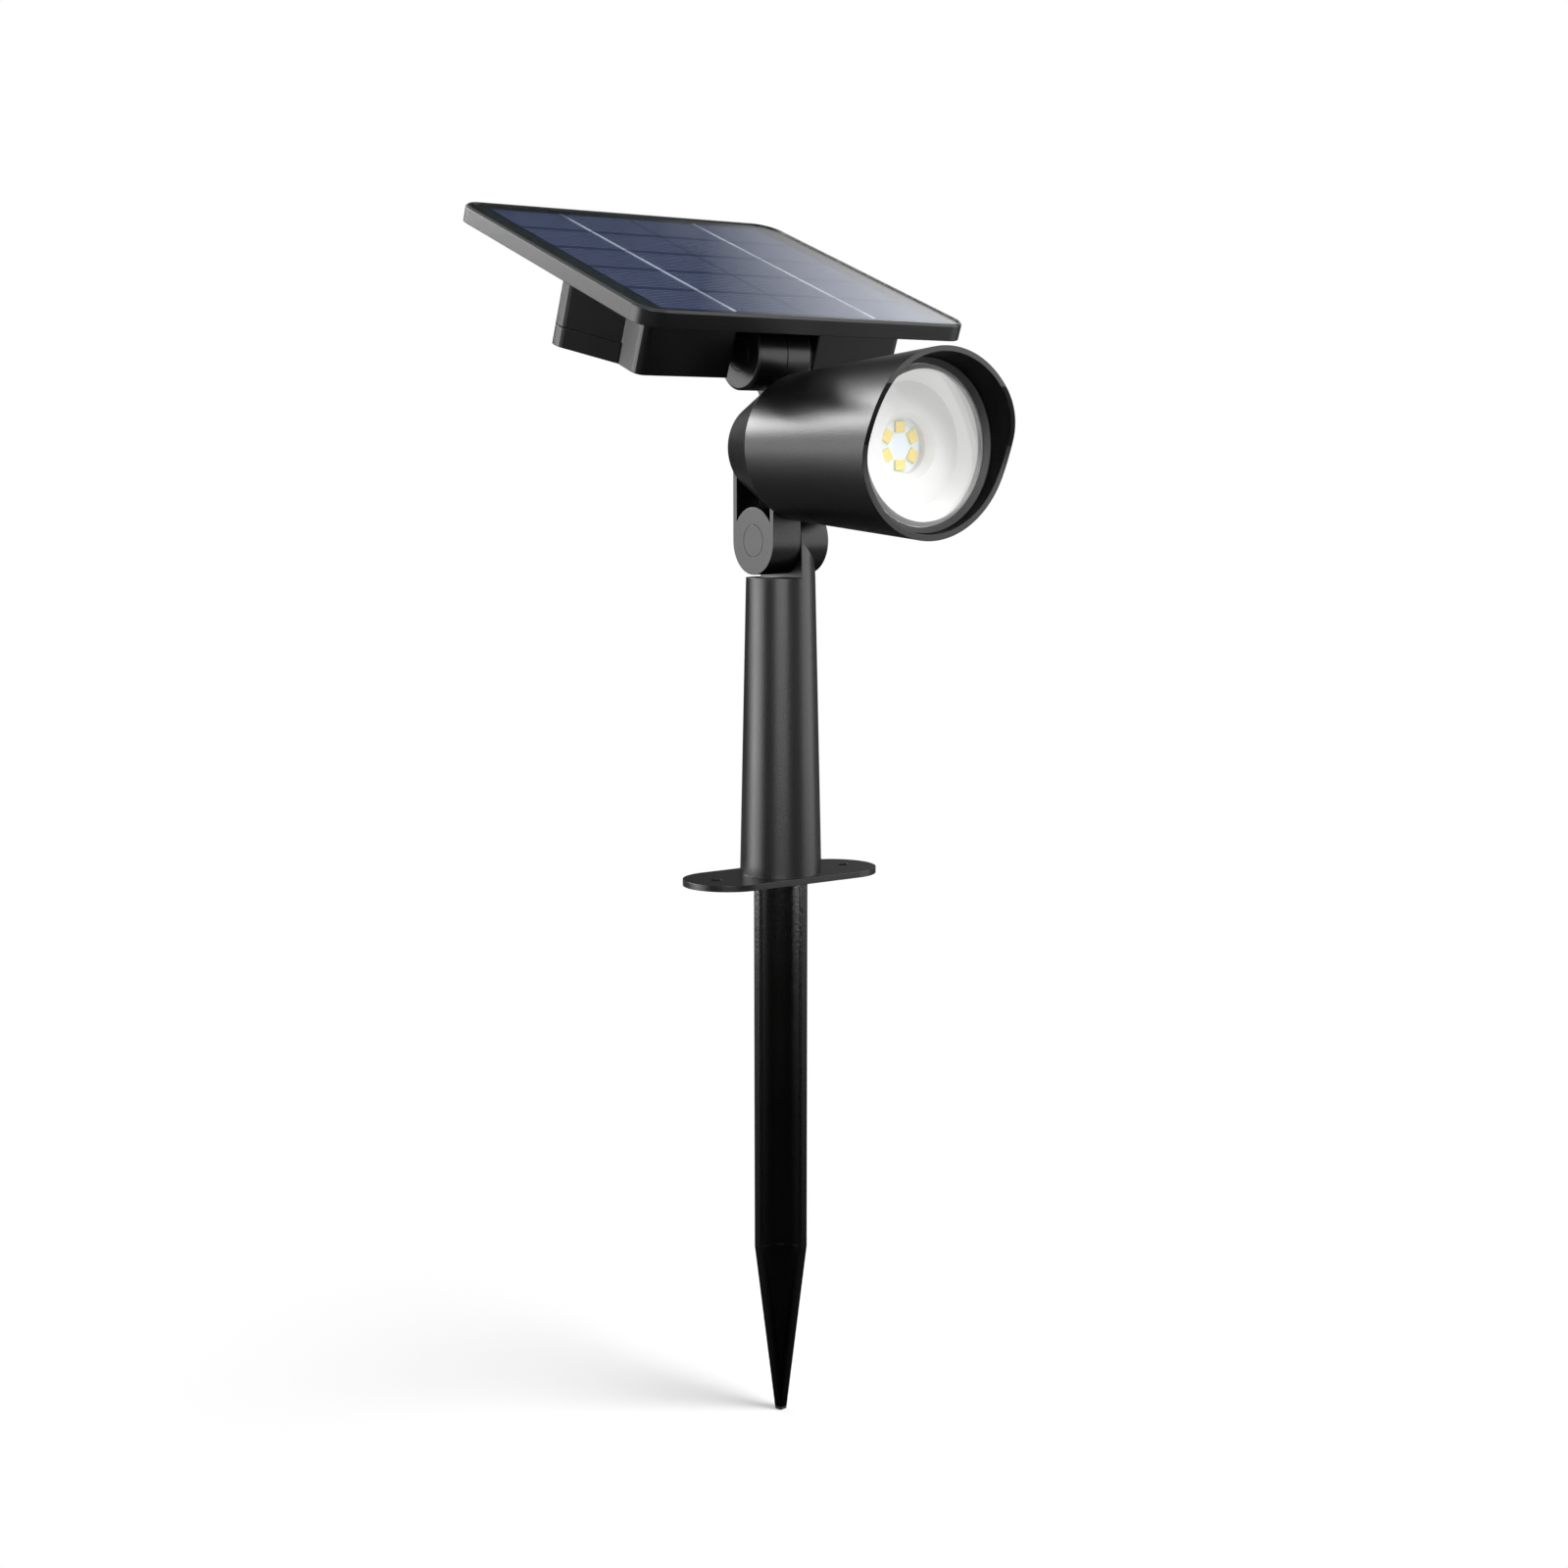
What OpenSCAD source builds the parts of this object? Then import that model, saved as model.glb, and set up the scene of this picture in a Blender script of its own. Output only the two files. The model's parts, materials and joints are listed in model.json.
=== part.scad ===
// Solar spotlight on a ground spike: a lamp head that tilts on a post, and a
// solar panel that tilts on the lamp head. Millimetres, +Z up, the light
// points along -Y, and the hinge axes and the row of screw holes lie along X.
// The origin is the middle of the ground plate's underside.

/* [Post] */
// Height of the ledge at the top of the post above the plate's underside
post_h = 107; // [80:1:160]
// Diameter of the post at its foot
post_base_d = 29; // [27:0.1:36]
// Diameter of the post at the ledge
post_top_d = 24.4; // [24:0.1:26.5]
// Wall of the hollow post
post_wall = 2.4; // [1.8:0.1:3.2]

/* [Ground plate] */
// Length of the plate, with its round ends
plate_len = 78; // [72:1:100]
// Width of the plate
plate_w = 32; // [30:1:40]
// Thickness of the plate
plate_t = 2.2; // [1.6:0.1:4]
// Distance between the two screw holes
screw_spacing = 56.5; // [50:0.5:60]
// Diameter of the screw holes
screw_hole_d = 4.2; // [3:0.1:5.5]

/* [Ground spike] */
// Length of the spike below the plate
spike_len = 197; // [140:1:240]
// Length of its tapered point
point_len = 64; // [40:1:90]
// Width across the fins at the top
spike_w = 24.1; // [20:0.1:28]
// Width across the fins where the point begins
spike_low_w = 23.8; // [18:0.1:24]
// Thickness of a fin
fin_t = 2.7; // [2:0.1:4]
// Radius of the hollow between two fins
fin_hollow_r = 9.2; // [5:0.1:9.4]
// Turn of the plugged-in spike about the post
spike_turn = 8; // [0:1:90]
// Length of the plug that goes up into the post
plug_len = 24; // [15:1:40]
// Wall of the plug
plug_wall = 2; // [1.5:0.1:3]

/* [Hinges] */
// Diameter of the two knuckles between post and lamp
knuckle_d = 23.4; // [22:0.2:25]
// Diameter of the two knuckles between lamp and panel
upper_knuckle_d = 24.6; // [22:0.2:26]
// Width of the lower pair of knuckles along its axis
knuckle_w = 24; // [22:0.5:28]
// Width of the lamp's upper knuckle
upper_far_w = 10.5; // [9:0.5:13]
// Bevel round the faces of the upper knuckles
knuckle_bevel = 0.8; // [0.3:0.1:1.2]
// Gap between the two knuckles of a pair
split_gap = 0.4; // [0.3:0.05:0.8]
// Gap between the lamp's knuckle and the ledge of the post
ledge_gap = 1.1; // [0.6:0.1:3]
// Diameter of the pivot bolts
bolt_d = 4; // [3:0.5:5]
// Diameter of a bolt's head
bolt_head_d = 7.6; // [6.5:0.1:8.5]
// Height of a bolt's head
bolt_head_h = 2.6; // [2:0.1:3.5]
// Width across the flats of a nut
nut_w = 7; // [6:0.1:8]
// Height of a nut
nut_h = 3.2; // [2:0.1:4]
// Diameter of the caps over bolt head and nut
cap_d = 11.1; // [10:0.1:13]
// Thickness of a cap
cap_t = 1.4; // [1:0.1:2]
// Diameter of the friction washers
washer_d = 16; // [12:0.5:18]
// Depth that a washer is let into each knuckle
washer_seat = 0.5; // [0.3:0.1:1]

/* [Lamp housing] */
// Diameter of the flat back
lamp_back_d = 31.8; // [30:0.2:34]
// Diameter at the edge between back cone and barrel
lamp_edge_d = 50.6; // [46:0.2:54]
// Diameter of the barrel at the bezel
lamp_front_d = 61.2; // [59:0.2:66]
// Distance of the back behind the lower hinge
back_overhang = 9.5; // [7:0.5:11]
// Length of the back cone
back_len = 22.8; // [20:0.1:26]
// Length of the barrel up to the bezel
barrel_len = 64.8; // [50:0.1:90]
// Wall of the housing
lamp_wall = 2; // [1.6:0.1:3]
// Gap between post head and barrel
lower_neck_gap = 0.7; // [0.6:0.1:4]
// Gap between barrel and upper knuckles, straight up
upper_neck_gap = 3.2; // [2.8:0.1:8]
// Distance of the upper hinge behind the lower one
upper_back = 8; // [6:0.5:10]
// Wall of the hollow lower neck
neck_wall = 2; // [1.5:0.1:3]
// Radius of the hollow curve between upper neck and barrel
neck_fillet_r = 2.4; // [1:0.1:2.5]

/* [Hood] */
// Reach of the hood in front of the bezel, at the top
hood_len = 10.6; // [8:0.1:20]
// Reach of the rim in front of the bezel, at the bottom
hood_lip = 2.3; // [1:0.1:4]
// Height above the lamp's axis where the hood's side begins to curve back
hood_corner = 19; // [12:0.5:24]
// Radius of the two curves of the hood's side
hood_curve_r = 50; // [35:1:80]
// Lean of the rim below the hood
rim_lean = 6.5; // [0:0.5:10]

/* [Lamp front] */
// Wall of the housing round the bezel
rim_wall = 1.8; // [1.4:0.1:2.4]
// Depth of the bezel's sloping face
bezel_dish = 1.7; // [1:0.1:2.4]
// Thickness of the bezel's inner lip
bezel_lip = 0.5; // [0.3:0.1:1]
// Diameter of the lens's clear face
aperture_d = 48.8; // [40:0.2:50]
// Width of the bevel round the clear face
lens_bevel_w = 1.8; // [0.8:0.1:2]
// Depth of the clear face behind the bezel's edge
lens_sink = 0.5; // [0.2:0.1:1]
// Thickness of the lens's flange
lens_flange_t = 1; // [0.8:0.1:1.6]
// Thickness of the seal behind the lens
seal_t = 0.8; // [0.6:0.1:1.4]
// Thickness of the reflector
reflector_t = 1.2; // [1:0.1:1.6]
// Depth of the reflector's floor behind the bezel's edge
reflector_depth = 9.8; // [8.6:0.1:20]
// Diameter of the reflector's floor
reflector_floor_d = 41.8; // [38:0.2:44]
// Rise of the floor towards the middle
floor_rise = 0.2; // [0:0.1:1.5]
// Diameter of the dip round the diodes
dip_d = 23; // [21:0.2:25]
// Depth of the dip
dip_depth = 2.6; // [1:0.1:4]
// Diameter of the hole for the diodes
board_hole_d = 18.4; // [17.6:0.2:19.6]
// Depth of the light board behind the hole's edge
board_sink = 2.4; // [0.8:0.1:3]
// Diameter of the light board
board_d = 22.4; // [21:0.2:24]
// Thickness of the light board
board_t = 1.2; // [0.8:0.1:1.6]
// Number of light-emitting diodes
led_count = 6; // [4:1:6]
// Radius of their ring
led_ring_r = 6.2; // [5.6:0.1:6.5]
// Length of a diode along the ring
led_l = 4; // [3:0.1:4.4]
// Width of a diode
led_w = 3.4; // [2:0.1:3.6]
// Height of a diode
led_h = 0.7; // [0.4:0.1:0.8]
// Diameter of the heat sink
sink_d = 36; // [34:0.5:40]
// Thickness of the heat sink
sink_t = 2; // [1.5:0.1:4]

/* [Solar panel] */
// Width of the panel along the hinge
panel_w = 140; // [136:1:160]
// Length of the panel up its slope
panel_l = 130; // [120:1:150]
// Thickness of the panel
panel_t = 6; // [5:0.1:8]
// Radius of its corners
panel_corner_r = 9; // [6:0.5:14]
// Bevel round its top edge
panel_bevel = 0.7; // [0.3:0.1:1]
// Slope of the panel, front edge low
panel_slope = 20.5; // [10:0.5:30]
// Distance of the upper hinge behind the panel's front edge
pivot_back = 22; // [20:0.5:26]
// Distance of the panel's middle from the hinge's, towards the far side
panel_shift = 0.7; // [0:0.1:1.4]
// Reach of the panel's ear in front of the hinge axis
ear_front = 4; // [2:0.5:8]
// Rim of the tray round the solar sheet
tray_rim = 1.4; // [1.2:0.1:2]
// Floor of the tray
tray_floor = 2.2; // [1.6:0.1:2.6]
// Thickness of the backing board
backing_t = 1.4; // [1:0.1:1.6]
// Thickness of the solar cells
cell_t = 0.3; // [0.2:0.05:0.4]
// Columns of solar cells
cell_cols = 2; // [1:1:3]
// Rows of solar cells
cell_rows = 5; // [3:1:6]
// Margin at the sides of the cells
side_margin = 8.6; // [4:0.2:12]
// Margin at the front and back of the cells
end_margin = 4; // [3:0.2:10]
// Gap between two cells
cell_gap = 0.4; // [0.3:0.1:1]
// Width of the metal ribbon along each column
ribbon_w = 1.3; // [0.8:0.1:2]
// Thickness of the ribbon
ribbon_t = 0.15; // [0.1:0.05:0.2]

/* [Battery case] */
// Depth of the case below the tray
case_h = 22; // [21:0.1:26]
// Reach of the case below the upper hinge
case_below = 7.6; // [6:0.1:9]
// Wall of the case
case_wall = 2; // [1.6:0.1:2.2]
// Width across the straight front part
case_front_w = 111; // [104:1:113]
// Reach of the case in front of the upper hinge
case_front = 3; // [0:0.1:4]
// Length of the straight front part
case_front_l = 12; // [9:0.1:13]
// Reach of the side corners past the panel's sides, before rounding
case_side_reach = 1.4; // [-2:0.1:2]
// Radius of the side corners
case_corner_r = 5; // [3:0.5:6]
// Radius of the front corners
case_front_r = 3.5; // [1:0.5:4]
// Width of the slot for the hinge
slot_w = 35.6; // [34:0.2:46]
// Depth of the slot behind the upper hinge
slot_back = 24; // [20:0.5:28]
// Height of the lid's side wall
lid_h = 6.9; // [5:0.1:9]
// Gap at the seam of the lid, filled by its seal
seam_gap = 0.3; // [0.2:0.05:0.5]
// Diameter of the battery
battery_d = 18.3; // [17:0.1:18.6]
// Length of the battery
battery_l = 65; // [50:1:66]

/* [Switch] */
// Diameter of the push button
button_d = 8; // [6:0.1:10]
// Travel of the button
button_travel = 1; // [0.6:0.1:1.4]
// How far the button stands out of the lid
button_proud = 1.4; // [1.1:0.1:2]

/* [Hidden] */
$fn = 96;
eps = 0.01;

// fits and small clearances
plug_fit = 0.1;        // spike plug in the post, on the radius
run_fit = 0.08;        // knuckle bore round the bolt, on the radius
seat_fit = 0.1;        // caps, washers, nuts and bolt heads in their seats
front_fit = 0.15;      // bezel, lens and reflector in the housing
sheet_fit = 0.2;       // solar sheet in its tray
relief = 0.6;          // barrel over the round head of the post
cell_room = 0.35;      // round the battery
battery_lift = 0.4;    // battery above the lid
boss_fit = 0.2;        // screw bosses off the walls and above the lid
board_room = 1;        // control board off ribs and bosses
pocket_floor = 2;      // web at the bottom of the lower neck's pocket

// colours
black = "#2a2b2d";
dark = "#3a3b3d";
steel = "#b9bcc0";

// hinge
knuckle_r = knuckle_d / 2;
upper_r = upper_knuckle_d / 2;
half_w = knuckle_w / 2;
lower_z = post_h + ledge_gap + knuckle_r;

// lamp: distances along its axis count forwards from the lower hinge
function back_r_at(f) = lamp_back_d / 2
    + (lamp_edge_d - lamp_back_d) / 2 * (f + back_overhang) / back_len;
edge_f = back_len - back_overhang;
bezel_f = edge_f + barrel_len;
barrel_grow = (lamp_front_d - lamp_edge_d) / 2 / barrel_len;
function barrel_r_at(f) = lamp_edge_d / 2 + barrel_grow * (f - edge_f);
hood_f = bezel_f + hood_len;
axis_h = knuckle_r + lower_neck_gap + back_r_at(0);
upper_h = axis_h + back_r_at(-upper_back) + upper_neck_gap + upper_r;
back_slope = atan((lamp_edge_d - lamp_back_d) / 2 / back_len);

// stack in the lamp's mouth, from the bezel's edge backwards
lens_front_f = bezel_f - lens_sink;
lens_flange_f = bezel_f - bezel_dish - bezel_lip;
lens_back_f = lens_flange_f - lens_flange_t;
flange_f = lens_back_f - seal_t;
shoulder_f = flange_f - reflector_t;
seat_r = barrel_r_at(shoulder_f) - rim_wall;
bezel_r = seat_r - front_fit;
bezel_in_r = aperture_d / 2 + lens_bevel_w + front_fit;
shoulder_w = 2.2;
shoulder_l = 3;
floor_f = bezel_f - reflector_depth;
board_f = floor_f + floor_rise - dip_depth - board_sink;
sink_f = board_f - board_t;
sink_screw_r = board_d / 2 + 3.2;
sink_screw_d = 2.2;
sink_screw_grip = 3;

// panel: y counts backwards from the upper hinge, z up from it
tray_z = case_h - case_below;
panel_top = tray_z + panel_t;
panel_mid = panel_l / 2 - pivot_back;
sheet_w = panel_w - 2 * tray_rim - 2 * sheet_fit;
sheet_l = panel_l - 2 * tray_rim - 2 * sheet_fit;
sheet_r = panel_corner_r - tray_rim - sheet_fit;
sheet_z = tray_z + tray_floor;
cover_z = sheet_z + backing_t + cell_t + ribbon_t;
cell_pitch_x = (sheet_w - 2 * side_margin) / cell_cols;
cell_pitch_y = (sheet_l - 2 * end_margin) / cell_rows;

// battery case
case_side_w = panel_w + 2 * case_side_reach;
case_low = tray_z - case_h;
seam_z = case_low + lid_h;
break_y = case_front_l - case_front;
case_back = slot_back + 2 * case_wall + battery_d + 2 * cell_room;
corner_y = (break_y + case_back) / 2;
battery_y = slot_back + case_wall + cell_room + battery_d / 2;
battery_z = case_low + case_wall + battery_lift + battery_d / 2;
lid_front = break_y + boss_fit;

// plan of the case: [x, y, corner radius], anticlockwise
function case_plan(front_y) = [
    [slot_w / 2, front_y, 0.6], [case_front_w / 2, front_y, case_front_r],
    [case_front_w / 2, break_y, 0.6], [case_side_w / 2, corner_y, case_corner_r],
    [case_front_w / 2, case_back, 3], [-case_front_w / 2, case_back, 3],
    [-case_side_w / 2, corner_y, case_corner_r], [-case_front_w / 2, break_y, 0.6],
    [-case_front_w / 2, front_y, case_front_r], [-slot_w / 2, front_y, 0.6],
    [-slot_w / 2, slot_back, 1], [slot_w / 2, slot_back, 1]
];
// plan of the lid, which leaves the straight front part to the housing
function lid_plan(front_y) = [
    [slot_w / 2, front_y, 0.3],
    [case_front_w / 2 + (front_y - break_y) * side_lean, front_y, 0.3],
    [case_side_w / 2, corner_y, case_corner_r],
    [case_front_w / 2, case_back, 3], [-case_front_w / 2, case_back, 3],
    [-case_side_w / 2, corner_y, case_corner_r],
    [-case_front_w / 2 - (front_y - break_y) * side_lean, front_y, 0.3],
    [-slot_w / 2, front_y, 0.3],
    [-slot_w / 2, slot_back, 1], [slot_w / 2, slot_back, 1]
];
side_lean = (case_side_w - case_front_w) / 2 / (corner_y - break_y);

// screws of the lid: [x, y]
lid_screw_d = 2.6;
lid_screw_l = 9;
boss_d = 6;
boss_in = case_wall + boss_d / 2 + boss_fit;
corner_boss_x = case_side_w / 2 - boss_in - 3;
back_boss_y = case_back - boss_in;
lid_screw_spots = [
    for (s = [-1, 1]) each [
        [s * corner_boss_x, corner_y],
        [s * (case_front_w / 2 - boss_in - 5), back_boss_y],
        [s * (slot_w / 2 + boss_in), lid_front + boss_in]
    ]
];

// battery contacts, and the ribs of the housing that they stand against
contact_t = 0.6;
rib_t = 1.6;

// control board, in the lobe at +X between the battery's rib and the bosses
pcb_in_x = battery_l / 2 + contact_t + rib_t + board_room;
pcb_out_x = min(case_front_w / 2, corner_boss_x - boss_d / 2 - board_room);
pcb_w = pcb_out_x - pcb_in_x;
pcb_l = 2 * (back_boss_y - boss_d / 2 - board_room - corner_y);
pcb_t = 1.2;
pcb_x = (pcb_in_x + pcb_out_x) / 2;
pcb_y = corner_y;
switch_h = 3.4;
switch_w = 6;
button_guide_h = 3;
button_flange = 1;
button_x = pcb_x;
button_y = pcb_y;
button_low = case_low - button_proud;
button_top = case_low + case_wall + button_guide_h + button_flange;
switch_z = button_top + button_travel + 0.3;
pcb_z = switch_z + switch_h;

// moves an edge of a plan inwards: each corner goes to where the shifted edges meet
function unit(v) = v / norm(v);
function inset(p, d) = [
    for (i = [0:len(p) - 1])
        let (
            a = p[(i + len(p) - 1) % len(p)], b = p[i], c = p[(i + 1) % len(p)],
            u = unit([b[0] - a[0], b[1] - a[1]]), v = unit([c[0] - b[0], c[1] - b[1]]),
            turn = cross(u, v)
        )
        [
            b[0] + d * (v[0] - u[0]) / turn,
            b[1] + d * (v[1] - u[1]) / turn,
            turn > 0 ? max(b[2] - d, 0.1) : b[2] + d
        ]
];

// rounds the corners of a plan with arcs of a few steps each
function rounded(p, steps = 6) = [
    for (i = [0:len(p) - 1])
        let (
            a = p[(i + len(p) - 1) % len(p)], b = p[i], c = p[(i + 1) % len(p)],
            u = unit([b[0] - a[0], b[1] - a[1]]), v = unit([c[0] - b[0], c[1] - b[1]]),
            side = cross(u, v) > 0 ? 1 : -1,
            angle = acos(u * v), r = b[2], back = r * tan(angle / 2),
            centre = [b[0] - back * u[0] - side * r * u[1], b[1] - back * u[1] + side * r * u[0]],
            start = atan2(-side * u[0], side * u[1])
        )
        for (k = [0:steps])
            centre + r * [cos(start + side * angle * k / steps), sin(start + side * angle * k / steps)]
];

module plan_prism(p, low, high) {
    translate([0, 0, low]) linear_extrude(high - low) polygon(rounded(p));
}

// cylinder along X from x1 to x2
module rod(d, x1, x2, fn = 96) {
    translate([x1, 0, 0]) rotate([0, 90, 0]) cylinder(d = d, h = x2 - x1, $fn = fn);
}

module nut_rod(w, x1, x2) {
    translate([x1, 0, 0]) rotate([0, 90, 0]) rotate(30)
        cylinder(d = w / cos(30), h = x2 - x1, $fn = 6);
}

// plate with round corners and a bevelled top edge
module bevelled_plate(w, l, t, r, bevel) {
    profile = function(half) [
        [-half, 0], [half, 0], [half, t - bevel], [half - bevel, t], [bevel - half, t], [-half, t - bevel]
    ];
    rotate([90, 0, 90]) translate([0, 0, r - w / 2])
        linear_extrude(w - 2 * r) polygon(profile(l / 2));
    rotate([90, 0, 0]) translate([0, 0, r - l / 2])
        linear_extrude(l - 2 * r) polygon(profile(w / 2));
    for (x = [-1, 1], y = [-1, 1])
        translate([x * (w / 2 - r), y * (l / 2 - r), 0]) {
            cylinder(r = r, h = t - bevel);
            translate([0, 0, t - bevel]) cylinder(r1 = r, r2 = r - bevel, h = bevel);
        }
}

module round_plate(w, l, t, r) {
    linear_extrude(t) {
        square([w - 2 * r, l], center = true);
        square([w, l - 2 * r], center = true);
        for (x = [-1, 1], y = [-1, 1])
            translate([x * (w / 2 - r), y * (l / 2 - r)]) circle(r = r);
    }
}

// places

module at_lower() { translate([0, 0, lower_z]) children(); }
module at_lamp_axis() { translate([0, 0, lower_z + axis_h]) rotate([90, 0, 0]) children(); }
module at_upper() { translate([0, upper_back, lower_z + upper_h]) children(); }
module at_ear() { at_upper() rotate([panel_slope, 0, 0]) children(); }
module at_panel() { at_ear() translate([panel_shift, 0, 0]) children(); }

// hinge hardware: the near side is -X, the far side +X

head_seat_x = -half_w + cap_t + seat_fit + bolt_head_h;
function nut_seat_x(far_w) = far_w - cap_t - seat_fit - nut_h;
washer_half = split_gap / 2 + washer_seat;

// what is cut out of a near knuckle
module near_cuts() {
    rod(cap_d + 2 * seat_fit, -half_w - 1, -half_w + cap_t);
    rod(bolt_head_d + 2 * seat_fit, -half_w, head_seat_x);
    rod(bolt_d + 2 * run_fit, -half_w, 0);
    rod(washer_d + 2 * seat_fit, -washer_half, 0);
}

// what is cut out of a far knuckle of a given width
module far_cuts(far_w) {
    rod(cap_d + 2 * seat_fit, far_w - cap_t, far_w + 1);
    nut_rod(nut_w + 2 * seat_fit, nut_seat_x(far_w), far_w);
    rod(bolt_d + 2 * run_fit, 0, far_w);
    rod(washer_d + 2 * seat_fit, 0, washer_half);
}

// knuckle of the upper hinge, from its bevelled face at -w to the split
module upper_knuckle(w) {
    rotate([0, 90, 0]) rotate_extrude() polygon([
        [0, -w], [upper_r - knuckle_bevel, -w], [upper_r, knuckle_bevel - w],
        [upper_r, -split_gap / 2], [0, -split_gap / 2]
    ]);
}

module bolt(far_w) {
    color(steel) difference() {
        union() {
            rod(bolt_head_d, head_seat_x - bolt_head_h, head_seat_x);
            rod(bolt_d, head_seat_x - eps, nut_seat_x(far_w) + nut_h);
        }
        for (a = [0, 90])
            translate([head_seat_x - bolt_head_h, 0, 0]) rotate([a, 0, 0])
                cube([2.4, 0.9, bolt_head_d * 0.55], center = true);
    }
}

module nut(far_w) {
    color(steel) difference() {
        nut_rod(nut_w, nut_seat_x(far_w), nut_seat_x(far_w) + nut_h);
        rod(bolt_d + 0.02, nut_seat_x(far_w) - 1, far_w);
    }
}

module washer() {
    color("#1c1c1d") difference() {
        rod(washer_d, -washer_half, washer_half);
        rod(bolt_d + 2 * run_fit, -2, 2);
    }
}

// a cap that closes a knuckle's face at +w, with a shallow dish behind it
module cap(w) {
    color(black) difference() {
        rod(cap_d, w - cap_t, w);
        rod(cap_d * 0.3, w - cap_t - 1, w - cap_t + 0.35);
    }
}

// post and spike

function post_r_at(z) = post_base_d / 2
    + (post_top_d - post_base_d) / 2 * (z - plate_t) / (post_h - plate_t);
post_bore_top = post_h - 8;

module post() {
    color(black) difference() {
        union() {
            linear_extrude(plate_t) {
                square([plate_len - plate_w, plate_w], center = true);
                for (s = [-1, 1])
                    translate([s * (plate_len - plate_w) / 2, 0]) circle(d = plate_w);
            }
            rotate_extrude() polygon([
                [0, 0], [post_base_d / 2, 0], [post_base_d / 2, plate_t],
                [post_top_d / 2, post_h], [knuckle_r, lower_z], [0, lower_z]
            ]);
            at_lower() rod(knuckle_d, 0, half_w);
        }
        // the near side is cut away above the ledge
        translate([split_gap / 2 - plate_len, -plate_w, post_h])
            cube([plate_len, 2 * plate_w, 3 * knuckle_d]);
        rotate_extrude() polygon([
            [0, -1], [post_r_at(0) - post_wall, -1],
            [post_r_at(post_bore_top) - post_wall, post_bore_top], [0, post_bore_top]
        ]);
        for (s = [-1, 1])
            translate([s * screw_spacing / 2, 0, -1]) cylinder(d = screw_hole_d, h = plate_t + 2);
        at_lower() far_cuts(half_w);
    }
}

module ground_spike() {
    straight = spike_len - point_len;
    hollow_c = fin_t / 2 + fin_hollow_r;
    tip_w = fin_t + 0.3;
    bore_r = post_r_at(0) - post_wall - plug_fit;
    bore_top_r = post_r_at(plug_len) - post_wall - plug_fit;
    color(black) {
        rotate(spike_turn) {
            for (a = [0, 90])
                rotate([90, 0, a]) linear_extrude(fin_t, center = true) polygon([
                    [-spike_w / 2, 0], [-spike_low_w / 2, -straight], [-tip_w / 2, -spike_len],
                    [tip_w / 2, -spike_len], [spike_low_w / 2, -straight], [spike_w / 2, 0]
                ]);
            // the rounded core between the fins, straight and then tapered with the point
            translate([0, 0, -straight]) linear_extrude(straight) spike_core(hollow_c);
            translate([0, 0, -straight]) mirror([0, 0, 1])
                linear_extrude(point_len, scale = tip_w / spike_low_w) spike_core(hollow_c, 40);
        }
        difference() {
            rotate_extrude() polygon([
                [0, 0], [bore_r, 0], [bore_top_r, plug_len - 1], [bore_top_r - 1, plug_len], [0, plug_len]
            ]);
            translate([0, 0, 3]) cylinder(r = bore_top_r - plug_wall, h = plug_len);
        }
    }
}

module spike_core(c, fn = 96) {
    difference() {
        square(2 * c, center = true);
        for (x = [-1, 1], y = [-1, 1]) translate([x * c, y * c]) circle(r = fin_hollow_r, $fn = fn);
    }
}

module lower_bolt() { at_lower() bolt(half_w); }
module lower_nut() { at_lower() nut(half_w); }
module lower_washer() { at_lower() washer(); }
module lower_near_cap() { at_lower() mirror([1, 0, 0]) cap(half_w); }
module lower_far_cap() { at_lower() cap(half_w); }

// lamp

module lamp_outside() {
    at_lamp_axis() rotate_extrude() polygon([
        [0, -back_overhang], [lamp_back_d / 2, -back_overhang], [lamp_edge_d / 2, edge_f],
        [barrel_r_at(hood_f), hood_f], [0, hood_f]
    ]);
}

module lamp_inside() {
    back_in = lamp_wall - back_overhang;
    at_lamp_axis() rotate_extrude() polygon([
        [0, back_in], [back_r_at(back_in) - lamp_wall * 1.2, back_in],
        [lamp_edge_d / 2 - lamp_wall, edge_f],
        [barrel_r_at(shoulder_f - shoulder_l) - lamp_wall, shoulder_f - shoulder_l - shoulder_w],
        [seat_r - shoulder_w, shoulder_f - shoulder_l], [seat_r - shoulder_w, shoulder_f],
        [seat_r, shoulder_f], [seat_r, bezel_f],
        [barrel_r_at(hood_f + 1) - rim_wall, hood_f + 1], [0, hood_f + 1]
    ]);
}

// what is cut off the rim below the hood. Seen from the side, the hood's edge curves back,
// turns the other way where both curves meet, and ends in the leaning rim.
module hood_cut() {
    r = hood_curve_r;
    low = -lamp_front_d;
    // angle where the curves meet, from the rim's place and lean
    k = hood_lip - hood_len + r * (1 + cos(rim_lean))
        + (hood_corner + r * sin(rim_lean) + lamp_front_d / 2) * tan(rim_lean);
    a = rim_lean + acos(k * cos(rim_lean) / (2 * r));
    upper = [hood_len - r, hood_corner];
    lower = upper + 2 * r * [cos(a), -sin(a)];
    at_lamp_axis() translate([0, 0, bezel_f]) rotate([0, -90, 0])
        linear_extrude(2 * lamp_front_d, center = true) difference() {
            union() {
                polygon([
                    [hood_len, hood_corner], (upper + lower) / 2,
                    lower - r * [cos(rim_lean), -sin(rim_lean)],
                    [hood_lip + (low + lamp_front_d / 2) * tan(rim_lean), low],
                    [2 * hood_len, low], [2 * hood_len, hood_corner]
                ]);
                intersection() {
                    translate(lower) circle(r = r, $fn = 200);
                    translate([0, low]) square([2 * hood_len, hood_corner - low]);
                }
            }
            translate(upper) circle(r = r, $fn = 200);
        }
}

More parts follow.
